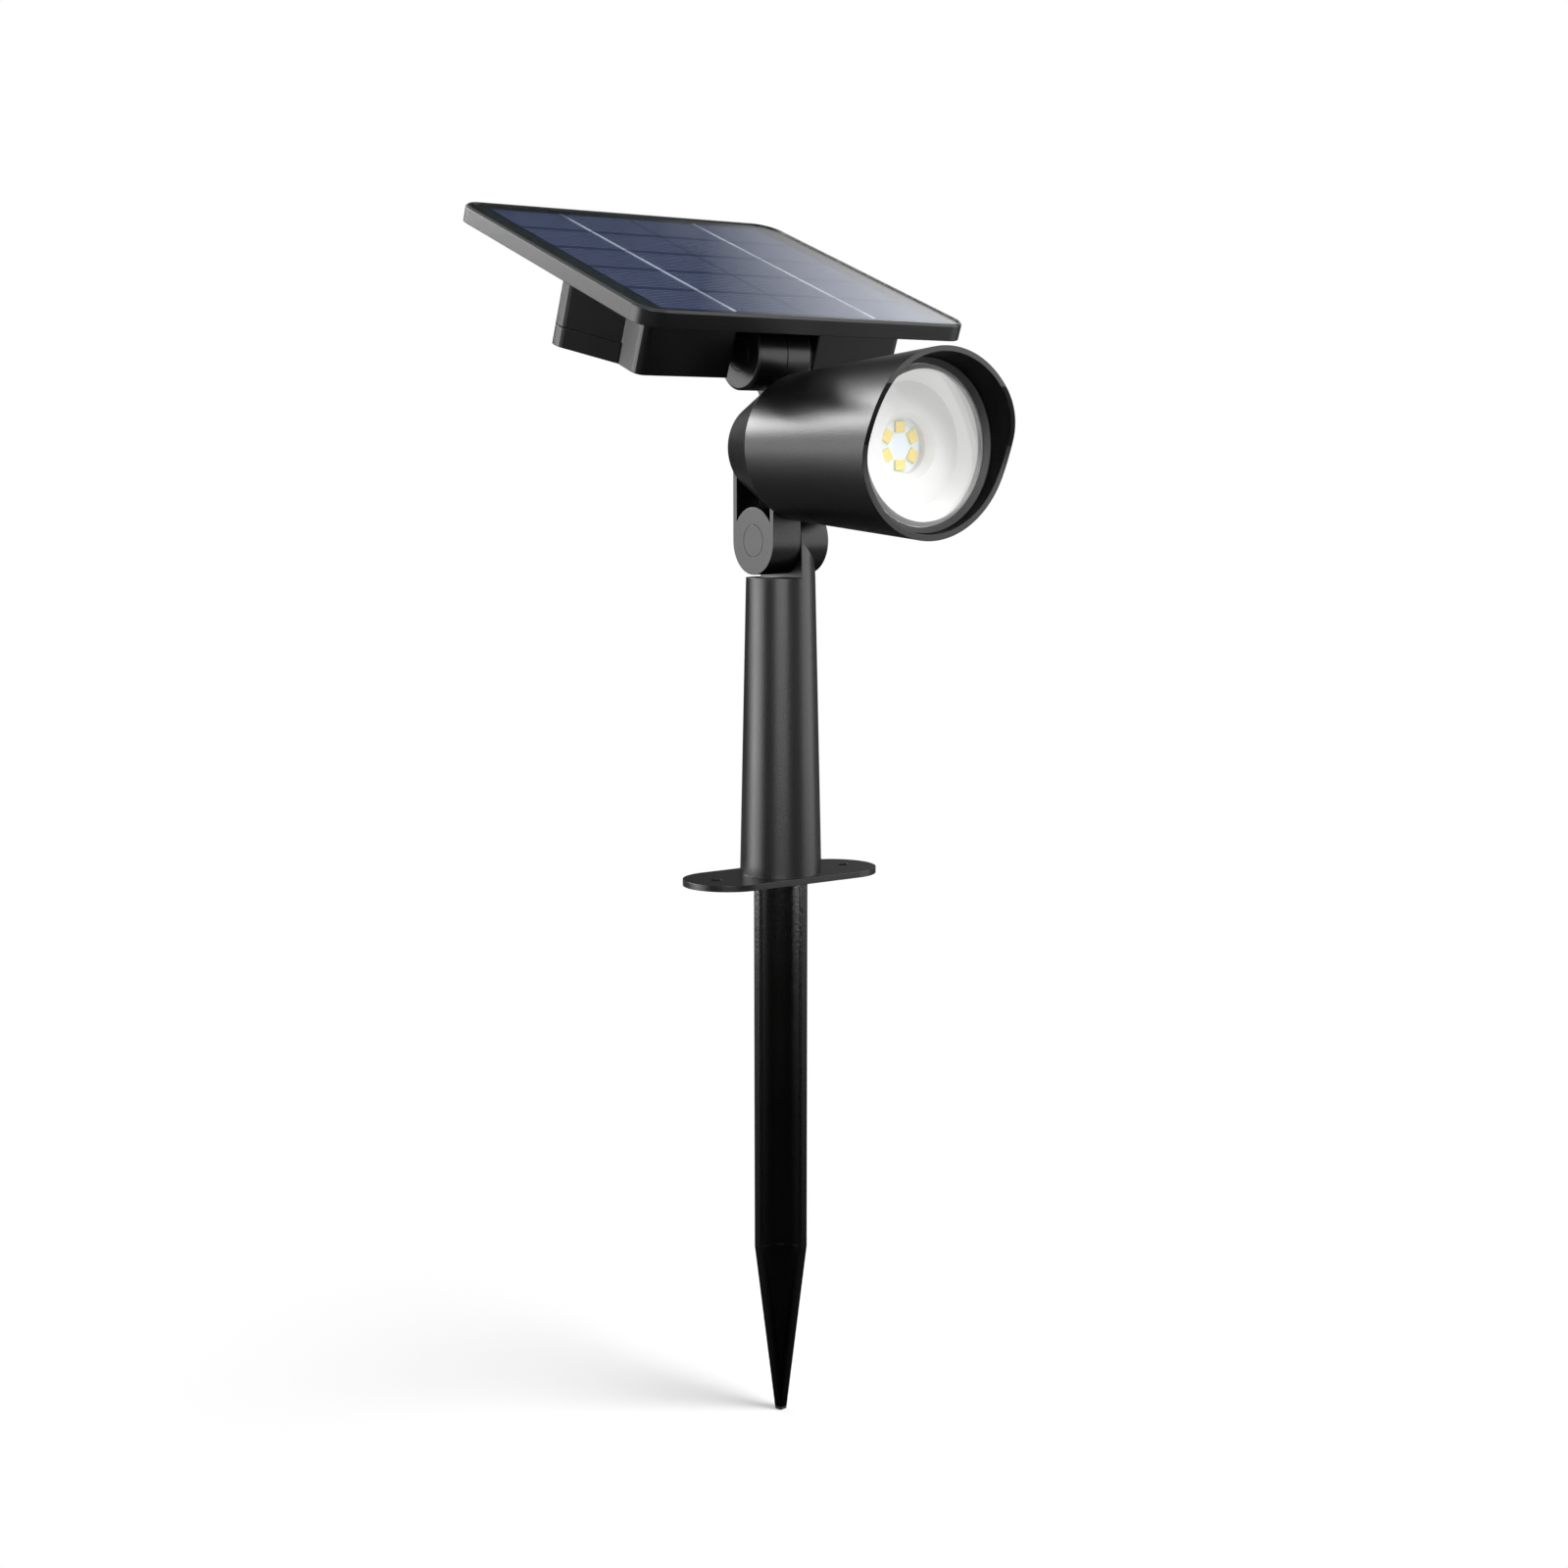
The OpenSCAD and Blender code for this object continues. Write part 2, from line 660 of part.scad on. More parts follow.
// the near neck: a knuckle whose straight sides run up into the barrel, with an
// open pocket above the round boss
module lower_neck() {
    difference() {
        at_lower() union() {
            rod(knuckle_d, -half_w, -split_gap / 2);
            translate([-half_w, -knuckle_r, 0]) cube([half_w - split_gap / 2, knuckle_d, axis_h]);
        }
        difference() {
            at_lower() translate([-half_w - 1, neck_wall - knuckle_r, 0])
                cube([half_w + 1 - pocket_floor, knuckle_d - 2 * neck_wall, axis_h]);
            at_lower() rod(knuckle_d, -half_w - 2, 0);
        }
    }
}

// the far neck: it leaves the knuckle's underside in a shallow ramp down to the barrel, its
// back runs straight to the edge of the lamp's back, and a hollow curve joins its near face
module neck_side(x1, x2) {
    r = upper_r - neck_bite;
    ramp = [upper_back - r * sin(neck_front), upper_h - r * cos(neck_front)];
    ramp_end = ramp - lamp_edge_d / 4 * [1, tan(neck_ramp)];
    translate([x1, 0, lower_z]) rotate([90, 0, 90]) linear_extrude(x2 - x1) polygon([
        [upper_back, upper_h - upper_r / 2], ramp, ramp_end, [ramp_end[0], axis_h],
        [back_overhang - lamp_wall, axis_h],
        [back_overhang, axis_h + lamp_back_d / 2 - lamp_wall],
        [upper_back + r * cos(neck_lean), upper_h - r * sin(neck_lean)]
    ]);
}

module upper_neck() {
    at_upper() mirror([1, 0, 0]) upper_knuckle(upper_far_w);
    neck_side(split_gap / 2, upper_far_w - knuckle_bevel);
    intersection() {
        neck_side(-neck_fillet_r, split_gap);
        translate([split_gap / 2, 0, lower_z + axis_h + back_r_at(0)]) rotate([-back_slope, 0, 0])
            translate([0, back_overhang, 0]) rotate([90, 0, 0])
                linear_extrude(back_overhang + upper_r - upper_back) difference() {
                    translate([-neck_fillet_r, -lamp_wall / 2])
                        square([neck_fillet_r + 1, neck_fillet_r + lamp_wall / 2]);
                    translate([-neck_fillet_r, neck_fillet_r]) circle(r = neck_fillet_r);
                }
    }
}
neck_lean = 22;
neck_front = 30;
neck_ramp = 21;
neck_bite = 0.15;

module lamp_housing() {
    color(black) difference() {
        union() {
            difference() {
                lamp_outside();
                // clear of the round head of the post, and of the panel's knuckle
                at_lower() rod(knuckle_d + 2 * relief, -split_gap / 2, half_w + relief);
            }
            lower_neck();
            upper_neck();
        }
        lamp_inside();
        hood_cut();
        at_lower() near_cuts();
        at_upper() far_cuts(upper_far_w);
    }
}

module bezel_ring() {
    color(dark) at_lamp_axis() rotate_extrude() polygon([
        [bezel_in_r, lens_flange_f], [bezel_r, lens_flange_f], [bezel_r, bezel_f],
        [bezel_r - 0.3, bezel_f], [bezel_in_r, lens_flange_f + bezel_lip]
    ]);
}

module front_lens() {
    color("#e8eef2", 0.35) at_lamp_axis() rotate_extrude() polygon([
        [0, lens_back_f], [bezel_r - 0.3, lens_back_f], [bezel_r - 0.3, lens_flange_f],
        [aperture_d / 2 + lens_bevel_w, lens_flange_f],
        [aperture_d / 2 + lens_bevel_w, lens_flange_f + bezel_lip],
        [aperture_d / 2, lens_front_f], [0, lens_front_f]
    ]);
}

module lens_seal() {
    color("#151515") at_lamp_axis() translate([0, 0, flange_f]) difference() {
        cylinder(r = bezel_r - 0.2, h = seal_t);
        translate([0, 0, -1]) cylinder(r = bezel_in_r + 0.2, h = seal_t + 2);
    }
}

// white dish: a sloping wall, a low crowned floor, and a dip down to the light board
module reflector() {
    mouth_r = aperture_d / 2 + 0.6;
    floor_r = reflector_floor_d / 2;
    hole_r = board_hole_d / 2;
    under_f = floor_f - reflector_t;
    color("white") at_lamp_axis() difference() {
        union() {
            rotate_extrude() polygon([
                [hole_r, board_f], [hole_r, board_f + board_sink], [dip_d / 2, floor_f + floor_rise],
                [floor_r, floor_f], [mouth_r, flange_f], [bezel_r, flange_f], [bezel_r, shoulder_f],
                [mouth_r + 0.5, shoulder_f], [floor_r + reflector_t, under_f],
                [dip_d / 2 + reflector_t, under_f], [hole_r + reflector_t, board_f]
            ]);
            for (a = sink_screw_angles) rotate(a)
                translate([sink_screw_r, 0, sink_f]) cylinder(d = 5, h = under_f - sink_f + eps);
        }
        for (a = sink_screw_angles) rotate(a)
            translate([sink_screw_r, 0, sink_f - 1]) cylinder(d = sink_screw_d, h = sink_screw_grip + 1.3);
    }
}
sink_screw_angles = [30, 150, 270];

module light_board() {
    color("#eef3f6") at_lamp_axis() translate([0, 0, sink_f]) cylinder(d = board_d, h = board_t);
}

module light_diodes() {
    color("#f6e27a") at_lamp_axis()
        for (i = [0:led_count - 1]) rotate(90 + 360 * i / led_count)
            translate([led_ring_r - led_w / 2, -led_l / 2, board_f]) cube([led_w, led_l, led_h]);
}

module heat_sink() {
    color("#c9ccd0") at_lamp_axis() translate([0, 0, sink_f - sink_t]) difference() {
        cylinder(d = sink_d, h = sink_t);
        for (a = sink_screw_angles) rotate(a)
            translate([sink_screw_r, 0, -1]) cylinder(d = sink_screw_d + 0.4, h = sink_t + 2);
    }
}

module heat_sink_screws() {
    color(steel) at_lamp_axis() for (a = sink_screw_angles) rotate(a)
        translate([sink_screw_r, 0, sink_f - sink_t]) {
            translate([0, 0, -1.3]) cylinder(d = 2 * sink_screw_d, h = 1.3);
            cylinder(d = sink_screw_d, h = sink_t + sink_screw_grip);
        }
}

module upper_bolt() { at_upper() bolt(upper_far_w); }
module upper_nut() { at_upper() nut(upper_far_w); }
module upper_washer() { at_upper() washer(); }
module upper_near_cap() { at_upper() mirror([1, 0, 0]) cap(half_w); }
module upper_far_cap() { at_upper() cap(upper_far_w); }

// panel

module panel_housing() {
    boss_low = case_low + case_wall + boss_fit;
    color(black) difference() {
        union() {
            difference() {
                union() {
                    at_panel() translate([0, panel_mid, tray_z])
                        bevelled_plate(panel_w, panel_l, panel_t, panel_corner_r, panel_bevel);
                    at_panel() plan_prism(case_plan(-case_front), seam_z + seam_gap, tray_z + eps);
                    at_panel() front_block();
                }
                at_panel() translate([0, panel_mid, sheet_z])
                    round_plate(sheet_w + 2 * sheet_fit, sheet_l + 2 * sheet_fit, panel_t,
                        sheet_r + sheet_fit);
                at_panel() plan_prism(inset(case_plan(-case_front), case_wall),
                    case_low + case_wall, tray_z);
            }
            // bosses for the lid's screws
            at_panel() for (p = lid_screw_spots)
                translate([p[0], p[1], boss_low]) cylinder(d = boss_d, h = tray_z - boss_low + eps);
            // ribs at the battery's ends
            at_panel() for (s = [-1, 1])
                translate([s * (battery_l / 2 + contact_t + rib_t / 2), battery_y, 0])
                    translate([-rib_t / 2, -battery_d / 2, battery_z - battery_d / 4])
                        cube([rib_t, battery_d, tray_z - battery_z + battery_d / 4 + eps]);
            // posts for the control board
            at_panel() for (p = board_screw_spots)
                translate([p[0], p[1], pcb_z + pcb_t]) cylinder(d = 4, h = tray_z - pcb_z - pcb_t + eps);
            // ear: the near knuckle, with a web up to the tray
            at_upper() upper_knuckle(half_w);
            at_ear() translate([knuckle_bevel - half_w, -ear_front, 0])
                cube([half_w - knuckle_bevel - split_gap / 2, upper_r + ear_front, tray_z + eps]);
        }
        at_panel() for (p = lid_screw_spots)
            translate([p[0], p[1], boss_low - 1]) cylinder(d = lid_screw_d - 0.4, h = lid_screw_l + 1);
        at_panel() for (p = board_screw_spots)
            translate([p[0], p[1], pcb_z + pcb_t - 1]) cylinder(d = 1.6, h = 4);
        at_upper() near_cuts();
    }
}

// straight front part of the case, down to the level of the lid
module front_block() {
    for (s = [-1, 1]) {
        x1 = min(s * slot_w / 2, s * case_front_w / 2);
        x2 = max(s * slot_w / 2, s * case_front_w / 2);
        plan_prism([
            [x1, -case_front, s < 0 ? case_front_r : 0.6], [x2, -case_front, s < 0 ? 0.6 : case_front_r],
            [x2, break_y, 0.3], [x1, break_y, 0.3]
        ], case_low, seam_z + seam_gap + eps);
    }
}

module backing_board() {
    color("#101a14") at_panel() translate([0, panel_mid, sheet_z])
        round_plate(sheet_w, sheet_l, backing_t, sheet_r);
}

function cell_x(i) = (i - (cell_cols - 1) / 2) * cell_pitch_x;
function cell_y(j) = panel_mid + (j - (cell_rows - 1) / 2) * cell_pitch_y;

module solar_cells() {
    color("#24305a") at_panel()
        for (i = [0:cell_cols - 1], j = [0:cell_rows - 1])
            translate([cell_x(i), cell_y(j), sheet_z + backing_t + cell_t / 2])
                cube([cell_pitch_x - cell_gap, cell_pitch_y - cell_gap, cell_t], center = true);
}

module cell_ribbons() {
    color("#e3e6ea") at_panel()
        for (i = [0:cell_cols - 1], j = [0:cell_rows - 1])
            translate([cell_x(i), cell_y(j), sheet_z + backing_t + cell_t + ribbon_t / 2])
                cube([ribbon_w, cell_pitch_y - 2.5 * cell_gap, ribbon_t], center = true);
}

module panel_cover() {
    color("#cfd9e6", 0.3) at_panel() translate([0, panel_mid, cover_z])
        round_plate(sheet_w, sheet_l, panel_top - 0.4 - cover_z, sheet_r);
}

module battery_lid() {
    color(black) at_panel() difference() {
        union() {
            difference() {
                plan_prism(lid_plan(lid_front), case_low, seam_z);
                plan_prism(inset(lid_plan(lid_front), case_wall), case_low + case_wall, seam_z + 1);
            }
            // guide for the button
            translate([button_x, button_y, case_low])
                cylinder(d = button_d + 5, h = case_wall + button_guide_h);
        }
        for (p = lid_screw_spots) translate([p[0], p[1], case_low - 1]) {
            cylinder(d = lid_screw_d + 0.4, h = case_wall + 2);
            cylinder(d = lid_screw_d * 2 + 0.4, h = 1 + 1.2);
        }
        translate([button_x, button_y, case_low - 1])
            cylinder(r = button_d / 2 + run_fit, h = case_wall + button_guide_h + 2);
    }
}

module lid_seal() {
    color("#1a1a1a") at_panel() difference() {
        plan_prism(inset(lid_plan(lid_front), 0.5), seam_z, seam_z + seam_gap);
        plan_prism(inset(lid_plan(lid_front), case_wall - 0.4), seam_z - 1, seam_z + 1);
    }
}

module lid_screws() {
    color(steel) at_panel() for (p = lid_screw_spots) translate([p[0], p[1], case_low + 0.1]) {
        difference() {
            cylinder(d = lid_screw_d * 2, h = 1.1);
            for (a = [0, 90]) rotate(a) cube([0.7, lid_screw_d * 1.2, 1.2], center = true);
        }
        cylinder(d = lid_screw_d - 0.4, h = lid_screw_l);
    }
}

module battery() {
    color("#3f6fb0") at_panel() translate([0, battery_y, battery_z]) {
        rod(battery_d, -battery_l / 2, battery_l / 2 - 1.2);
        rod(battery_d * 0.4, battery_l / 2 - 1.2 - eps, battery_l / 2);
    }
}

module battery_contacts() {
    color(steel) at_panel() for (s = [-1, 1])
        translate([s * (battery_l + contact_t) / 2, battery_y, battery_z])
            cube([contact_t, battery_d / 2, battery_d / 2], center = true);
}

board_screw_spots = [
    [pcb_x - pcb_w / 2 + 2.4, pcb_y - pcb_l / 2 + 2.4], [pcb_x + pcb_w / 2 - 2.4, pcb_y + pcb_l / 2 - 2.4]
];

module control_board() {
    color("#1f6b3a") at_panel() difference() {
        translate([pcb_x, pcb_y, pcb_z + pcb_t / 2]) cube([pcb_w, pcb_l, pcb_t], center = true);
        for (p = board_screw_spots)
            translate([p[0], p[1], pcb_z - 1]) cylinder(d = 2.2, h = pcb_t + 2);
    }
}

// chips and a coil under the board, clear of the switch: [x, y, width, length, height]
chip_gap = 0.4;
chip_spots = [
    [pcb_w * 0.26, -switch_w / 2 - chip_gap - 3, 5, 6, 1.6],
    [-pcb_w * 0.26, switch_w / 2 + chip_gap + 2.5, 6, 5, 3],
    [switch_w / 2 + chip_gap + 1.5, 1, 3, 3, 1]
];

module board_parts() {
    color("#17181a") at_panel() for (c = chip_spots)
        translate([pcb_x + c[0], pcb_y + c[1], pcb_z - c[4] / 2]) cube([c[2], c[3], c[4]], center = true);
}

module board_screws() {
    color(steel) at_panel() for (p = board_screw_spots) translate([p[0], p[1], pcb_z - 1.2]) {
        cylinder(d = 3.6, h = 1.2);
        cylinder(d = 1.6, h = pcb_t + 4);
    }
}

module power_button() {
    color(dark) at_panel() translate([button_x, button_y, 0]) {
        translate([0, 0, button_low]) cylinder(d = button_d, h = button_top - button_low);
        translate([0, 0, button_top - button_flange]) cylinder(d = button_d + 2.4, h = button_flange);
    }
}

module push_switch() {
    color("#202122") at_panel() translate([button_x, button_y, 0]) {
        translate([0, 0, switch_z + switch_h * 0.65]) cube([switch_w, switch_w, switch_h * 0.7], center = true);
        translate([0, 0, switch_z]) cylinder(d = 3, h = switch_h * 0.4);
    }
}

ground_spike();
post();
lower_bolt();
lower_nut();
lower_washer();
lower_near_cap();
lower_far_cap();
lamp_housing();
bezel_ring();
front_lens();
lens_seal();
reflector();
light_board();
light_diodes();
heat_sink();
heat_sink_screws();
upper_bolt();
upper_nut();
upper_washer();
upper_near_cap();
upper_far_cap();
panel_housing();
backing_board();
solar_cells();
cell_ribbons();
panel_cover();
battery_lid();
lid_seal();
lid_screws();
battery();
battery_contacts();
control_board();
board_parts();
board_screws();
power_button();
push_switch();
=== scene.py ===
import json
import math

import bpy
from mathutils import Matrix, Vector


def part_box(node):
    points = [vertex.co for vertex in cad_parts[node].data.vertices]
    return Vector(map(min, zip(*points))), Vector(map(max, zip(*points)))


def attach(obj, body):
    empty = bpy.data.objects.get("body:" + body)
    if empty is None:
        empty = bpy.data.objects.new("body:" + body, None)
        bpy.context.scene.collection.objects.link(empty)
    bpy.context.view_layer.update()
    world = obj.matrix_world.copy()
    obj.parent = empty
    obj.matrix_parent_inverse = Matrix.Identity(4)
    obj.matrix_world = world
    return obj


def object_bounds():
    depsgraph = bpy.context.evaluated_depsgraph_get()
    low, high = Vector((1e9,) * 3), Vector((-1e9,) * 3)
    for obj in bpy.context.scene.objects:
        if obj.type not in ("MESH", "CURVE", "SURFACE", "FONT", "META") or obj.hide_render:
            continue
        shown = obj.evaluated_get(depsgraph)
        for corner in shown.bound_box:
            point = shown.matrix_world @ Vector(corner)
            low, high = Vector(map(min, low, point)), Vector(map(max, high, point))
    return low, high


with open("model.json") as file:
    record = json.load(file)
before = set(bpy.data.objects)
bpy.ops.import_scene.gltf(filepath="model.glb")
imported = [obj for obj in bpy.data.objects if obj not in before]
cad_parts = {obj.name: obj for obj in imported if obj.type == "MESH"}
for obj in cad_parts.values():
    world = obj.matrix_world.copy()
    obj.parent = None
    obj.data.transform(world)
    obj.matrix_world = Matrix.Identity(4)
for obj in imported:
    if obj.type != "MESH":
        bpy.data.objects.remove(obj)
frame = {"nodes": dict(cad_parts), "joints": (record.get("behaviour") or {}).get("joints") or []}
nodes = frame["nodes"]
joints = {joint["name"]: joint for joint in frame["joints"]}
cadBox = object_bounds()
mm = 0.001

# the height of the lamp's axis and the front of its bezel, in millimetres
bezelLow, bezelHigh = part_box("bezel_ring")
axisHeight = (bezelLow[2] + bezelHigh[2]) / 2 / mm
bezelFront = -bezelLow[1] / mm
print("frame loaded:", len(nodes), "nodes")


def hexColour(code):  # sRGB hex to the linear colour that the shaders take
    parts = [int(code[i:i + 2], 16) / 255 for i in (1, 3, 5)]
    linear = [c / 12.92 if c <= 0.04045 else ((c + 0.055) / 1.055) ** 2.4 for c in parts]
    return (*linear, 1.0)


def addNode(tree, kind, values=None, links=None, **settings):  # a node, its socket values and what feeds it
    node = tree.nodes.new(kind)
    for name, value in settings.items():
        setattr(node, name, value)
    for name, value in (values or {}).items():
        node.inputs[name].default_value = value
    for name, source in (links or {}).items():
        tree.links.new(source, node.inputs[name])
    return node


def newMaterial(name):
    material = bpy.data.materials.new(name)
    material.use_nodes = True
    material.node_tree.nodes.clear()
    return material, material.node_tree


def meshObject(name, points, faces, material):
    mesh = bpy.data.meshes.new(name)
    mesh.from_pydata(points, [], faces)
    mesh.materials.append(material)
    obj = bpy.data.objects.new(name, mesh)
    bpy.context.scene.collection.objects.link(obj)
    return obj


def perMm(size):  # noise scale that gives features of this many millimetres
    return 1 / (size * mm)


# Black ABS as it leaves a spark-eroded mould: a soft satin sheen, deep black beside it. The real grain
# is near 0.1 mm, too fine to show, so it is drawn at 0.5 mm. Lengths in the looks are in millimetres.
absLook = {"colour": "#060607", "worn": "#08080a", "roughness": 0.3, "unevenness": 0.05, "patch": 35,
           "grain": 0.5, "grainDepth": 0.1, "specular": 0.5, "edge": 0.35}


def mouldedPlastic(name, look):  # fine grain, slightly uneven gloss and tone, softly rounded edges
    look = {**absLook, **look}
    material, tree = newMaterial(name)
    place = addNode(tree, "ShaderNodeTexCoord").outputs["Object"]
    patches = addNode(tree, "ShaderNodeTexNoise", {"Scale": perMm(look["patch"]), "Detail": 3.0},
                      {"Vector": place})
    grain = addNode(tree, "ShaderNodeTexNoise", {"Scale": perMm(look["grain"]), "Detail": 2.0},
                    {"Vector": place})
    tone = addNode(tree, "ShaderNodeMix", {6: hexColour(look["colour"]), 7: hexColour(look["worn"])},
                   {0: patches.outputs["Fac"]}, data_type="RGBA")
    gloss = addNode(tree, "ShaderNodeMapRange", {"To Min": look["roughness"] - look["unevenness"],
                                                 "To Max": look["roughness"] + look["unevenness"]},
                    {"Value": patches.outputs["Fac"]})
    corner = addNode(tree, "ShaderNodeBevel", {"Radius": look["edge"] * mm}, samples=4)
    relief = addNode(tree, "ShaderNodeBump", {"Strength": 0.5, "Distance": look["grainDepth"] * mm},
                     {"Height": grain.outputs["Fac"], "Normal": corner.outputs["Normal"]})
    surface = addNode(tree, "ShaderNodeBsdfPrincipled", {"Specular IOR Level": look["specular"], "IOR": 1.52},
                      {"Base Color": tone.outputs[2], "Roughness": gloss.outputs["Result"],
                       "Normal": relief.outputs["Normal"]})
    addNode(tree, "ShaderNodeOutputMaterial", links={"Surface": surface.outputs[0]})
    return material


satinAbs = mouldedPlastic("satin black moulded ABS", {})
# polypropylene from a polished mould: almost pure black, with narrow bright lines along the fins
spikePolypropylene = mouldedPlastic("smooth black polypropylene", {
    "colour": "#020202", "worn": "#030303", "specular": 0.4, "roughness": 0.17, "grain": 0.9})
# ABS with a finer, duller grain: a soft grey ring between the white reflector and the black hood
bezelAbs = mouldedPlastic("fine grained grey-black ABS", {
    "colour": "#2b2b2c", "worn": "#303031", "roughness": 0.5, "grain": 0.4})
# the lens's moulded bevel, painted mid grey under the teeth: the bezel seen through it, lightened with
# painted light
lensEdgeGreyPaint = mouldedPlastic("ribbed lens edge painted light grey", {
    "colour": "#7c7c7d", "worn": "#828283", "grain": 0.3, "edge": 0.05})
# the teeth on that bevel are painted pale: a painted highlight for the light the clear teeth catch, so the
# edge reads as fine pale strokes
paleToothHighlight = mouldedPlastic("lens edge teeth painted pale as highlights", {
    "colour": "#dcdcdc", "worn": "#d4d4d5", "grain": 0.3, "grainDepth": 0.01, "edge": 0.03})
# a darker, duller copy of the housing's ABS: painted shade inside the hood's recess, beside the bright lens
hoodShadeAbs = mouldedPlastic("darker duller ABS painted as shade inside the hood", {
    "colour": "#040404", "worn": "#060606", "roughness": 0.6, "specular": 0.12})
# the caps come from another mould: the same sheen, a shade more even
capAbs = mouldedPlastic("smooth black ABS cap", {"colour": "#070708"})
# moulded white polycarbonate: bright and even, with no mirror image, and shading that shows its steps
whitePlastic = mouldedPlastic("satin white polycarbonate", {
    "colour": "#dfdfde", "worn": "#dbdbda", "roughness": 0.4, "grainDepth": 0.01})
# moulded silicone rubber: dull and dark grey, with no bright line along its edges
siliconeRubber = mouldedPlastic("black silicone rubber", {
    "colour": "#141415", "worn": "#1a1a1b", "roughness": 0.62, "specular": 0.3})
# shrunk plastic film: a clean blue with a clear highlight along the cell
cellWrap = mouldedPlastic("blue shrink wrap", {"colour": "#2b5f9e", "worn": "#2f66a8", "roughness": 0.25})
# printed solder masks: glossy green on the control board, bluish white under the diodes, and a dull
# green-black round the solar cells that gives the panel its dark margin
boardGreen = mouldedPlastic("green solder mask", {"colour": "#14532b", "worn": "#175c30"})
boardWhite = mouldedPlastic("white solder mask", {
    "colour": "#eaf3f8", "worn": "#e2edf4", "roughness": 0.35, "grainDepth": 0.01})
boardDark = mouldedPlastic("green-black solder mask", {
    "colour": "#0c1511", "worn": "#101a15", "roughness": 0.6, "specular": 0.04})
# phosphor in cast resin: opaque warm yellow squares with a slight granular look
phosphor = mouldedPlastic("yellow phosphor resin", {
    "colour": "#f6de78", "worn": "#f0d66c", "roughness": 0.5, "grain": 0.15})
# moulded epoxy: the flat grey-black of chips
chipEpoxy = mouldedPlastic("moulded black epoxy", {"colour": "#161617", "roughness": 0.55})
# etched multicrystalline silicon: navy crystals a millimetre or two across, without any gloss
siliconBlue = mouldedPlastic("navy silicon cell", {
    "colour": "#121a30", "worn": "#2b3757", "patch": 1.6, "roughness": 0.5, "specular": 0.05,
    "grain": 2.5, "edge": 0.05})


def clearPlastic(name, look):  # polished, lets the lamps' light straight through to what it covers
    material, tree = newMaterial(name)
    place = addNode(tree, "ShaderNodeTexCoord").outputs["Object"]
    waves = addNode(tree, "ShaderNodeTexNoise", {"Scale": perMm(look["wave"]), "Detail": 1.0},
                    {"Vector": place})
    relief = addNode(tree, "ShaderNodeBump", {"Strength": 0.1, "Distance": look["waveDepth"] * mm},
                     {"Height": waves.outputs["Fac"]})
    surface = addNode(tree, "ShaderNodeBsdfPrincipled",
                      {"Base Color": hexColour(look["colour"]), "Roughness": look["roughness"],
                       "Transmission Weight": 1.0, "IOR": look["ior"]},
                      {"Normal": relief.outputs["Normal"]})
    through = addNode(tree, "ShaderNodeBsdfTransparent", {"Color": hexColour(look["colour"])})
    ray = addNode(tree, "ShaderNodeLightPath")
    straight = addNode(tree, "ShaderNodeMath", links={0: ray.outputs["Is Shadow Ray"],
                                                      1: ray.outputs["Is Diffuse Ray"]}, operation="MAXIMUM")
    mix = addNode(tree, "ShaderNodeMixShader", links={0: straight.outputs[0], 1: surface.outputs[0],
                                                      2: through.outputs[0]})
    addNode(tree, "ShaderNodeOutputMaterial", links={"Surface": mix.outputs[0]})
    return material


# moulded and polished, with the slow waves of a moulded sheet: the reflector shows through it clearly
lensPolycarbonate = clearPlastic("clear polycarbonate lens", {
    "colour": "#fdfdfd", "roughness": 0.02, "ior": 1.45, "wave": 20, "waveDepth": 0.05})
# laminated cover sheet: faintly blue, with a soft mirror image that whitens the cells at low angles
coverGlass = clearPlastic("clear panel cover sheet", {
    "colour": "#eef3fa", "roughness": 0.04, "ior": 1.5, "wave": 6, "waveDepth": 0.03})


def brushedMetal(name, look):  # fine lines along X. Real ones are near 0.05 mm and wouldn't show
    look = {"metallic": 1.0, "unevenness": 0.08, **look}
    material, tree = newMaterial(name)
    place = addNode(tree, "ShaderNodeTexCoord").outputs["Object"]
    stretch = addNode(tree, "ShaderNodeMapping", {"Scale": (0.05, 1, 1)}, {"Vector": place})
    lines = addNode(tree, "ShaderNodeTexNoise", {"Scale": perMm(look["line"]), "Detail": 3.0},
                    {"Vector": stretch.outputs[0]})
    gloss = addNode(tree, "ShaderNodeMapRange", {"To Min": look["roughness"] - look["unevenness"],
                                                 "To Max": look["roughness"] + look["unevenness"]},
                    {"Value": lines.outputs["Fac"]})
    relief = addNode(tree, "ShaderNodeBump", {"Strength": 0.2, "Distance": 0.01 * mm},
                     {"Height": lines.outputs["Fac"]})
    surface = addNode(tree, "ShaderNodeBsdfPrincipled", {"Base Color": hexColour(look["colour"]),
                                                          "Metallic": look["metallic"]},
                      {"Roughness": gloss.outputs["Result"], "Normal": relief.outputs["Normal"]})
    addNode(tree, "ShaderNodeOutputMaterial", links={"Surface": surface.outputs[0]})
    return material


# zinc plated steel: cool grey with a satin highlight on screw heads and bolts
zincSteel = brushedMetal("zinc plated steel", {"colour": "#b9bcc0", "roughness": 0.32, "line": 0.3})
# stamped aluminium sheet: a lighter, softer grey
stampedAluminium = brushedMetal("stamped aluminium plate", {
    "colour": "#cfd1d4", "roughness": 0.38, "line": 0.5})
# dip-tinned copper strip: pale bright lines down the cells, slightly dulled by flux
tinnedRibbon = brushedMetal("tinned copper ribbon", {
    "colour": "#f1f3f5", "roughness": 0.5, "line": 0.2, "metallic": 0.85})
# printed and fired silver paste: dull bluish hairlines across the cells
fingerSilver = brushedMetal("printed silver finger", {
    "colour": "#a9aec0", "roughness": 0.6, "line": 0.2, "metallic": 0.75})

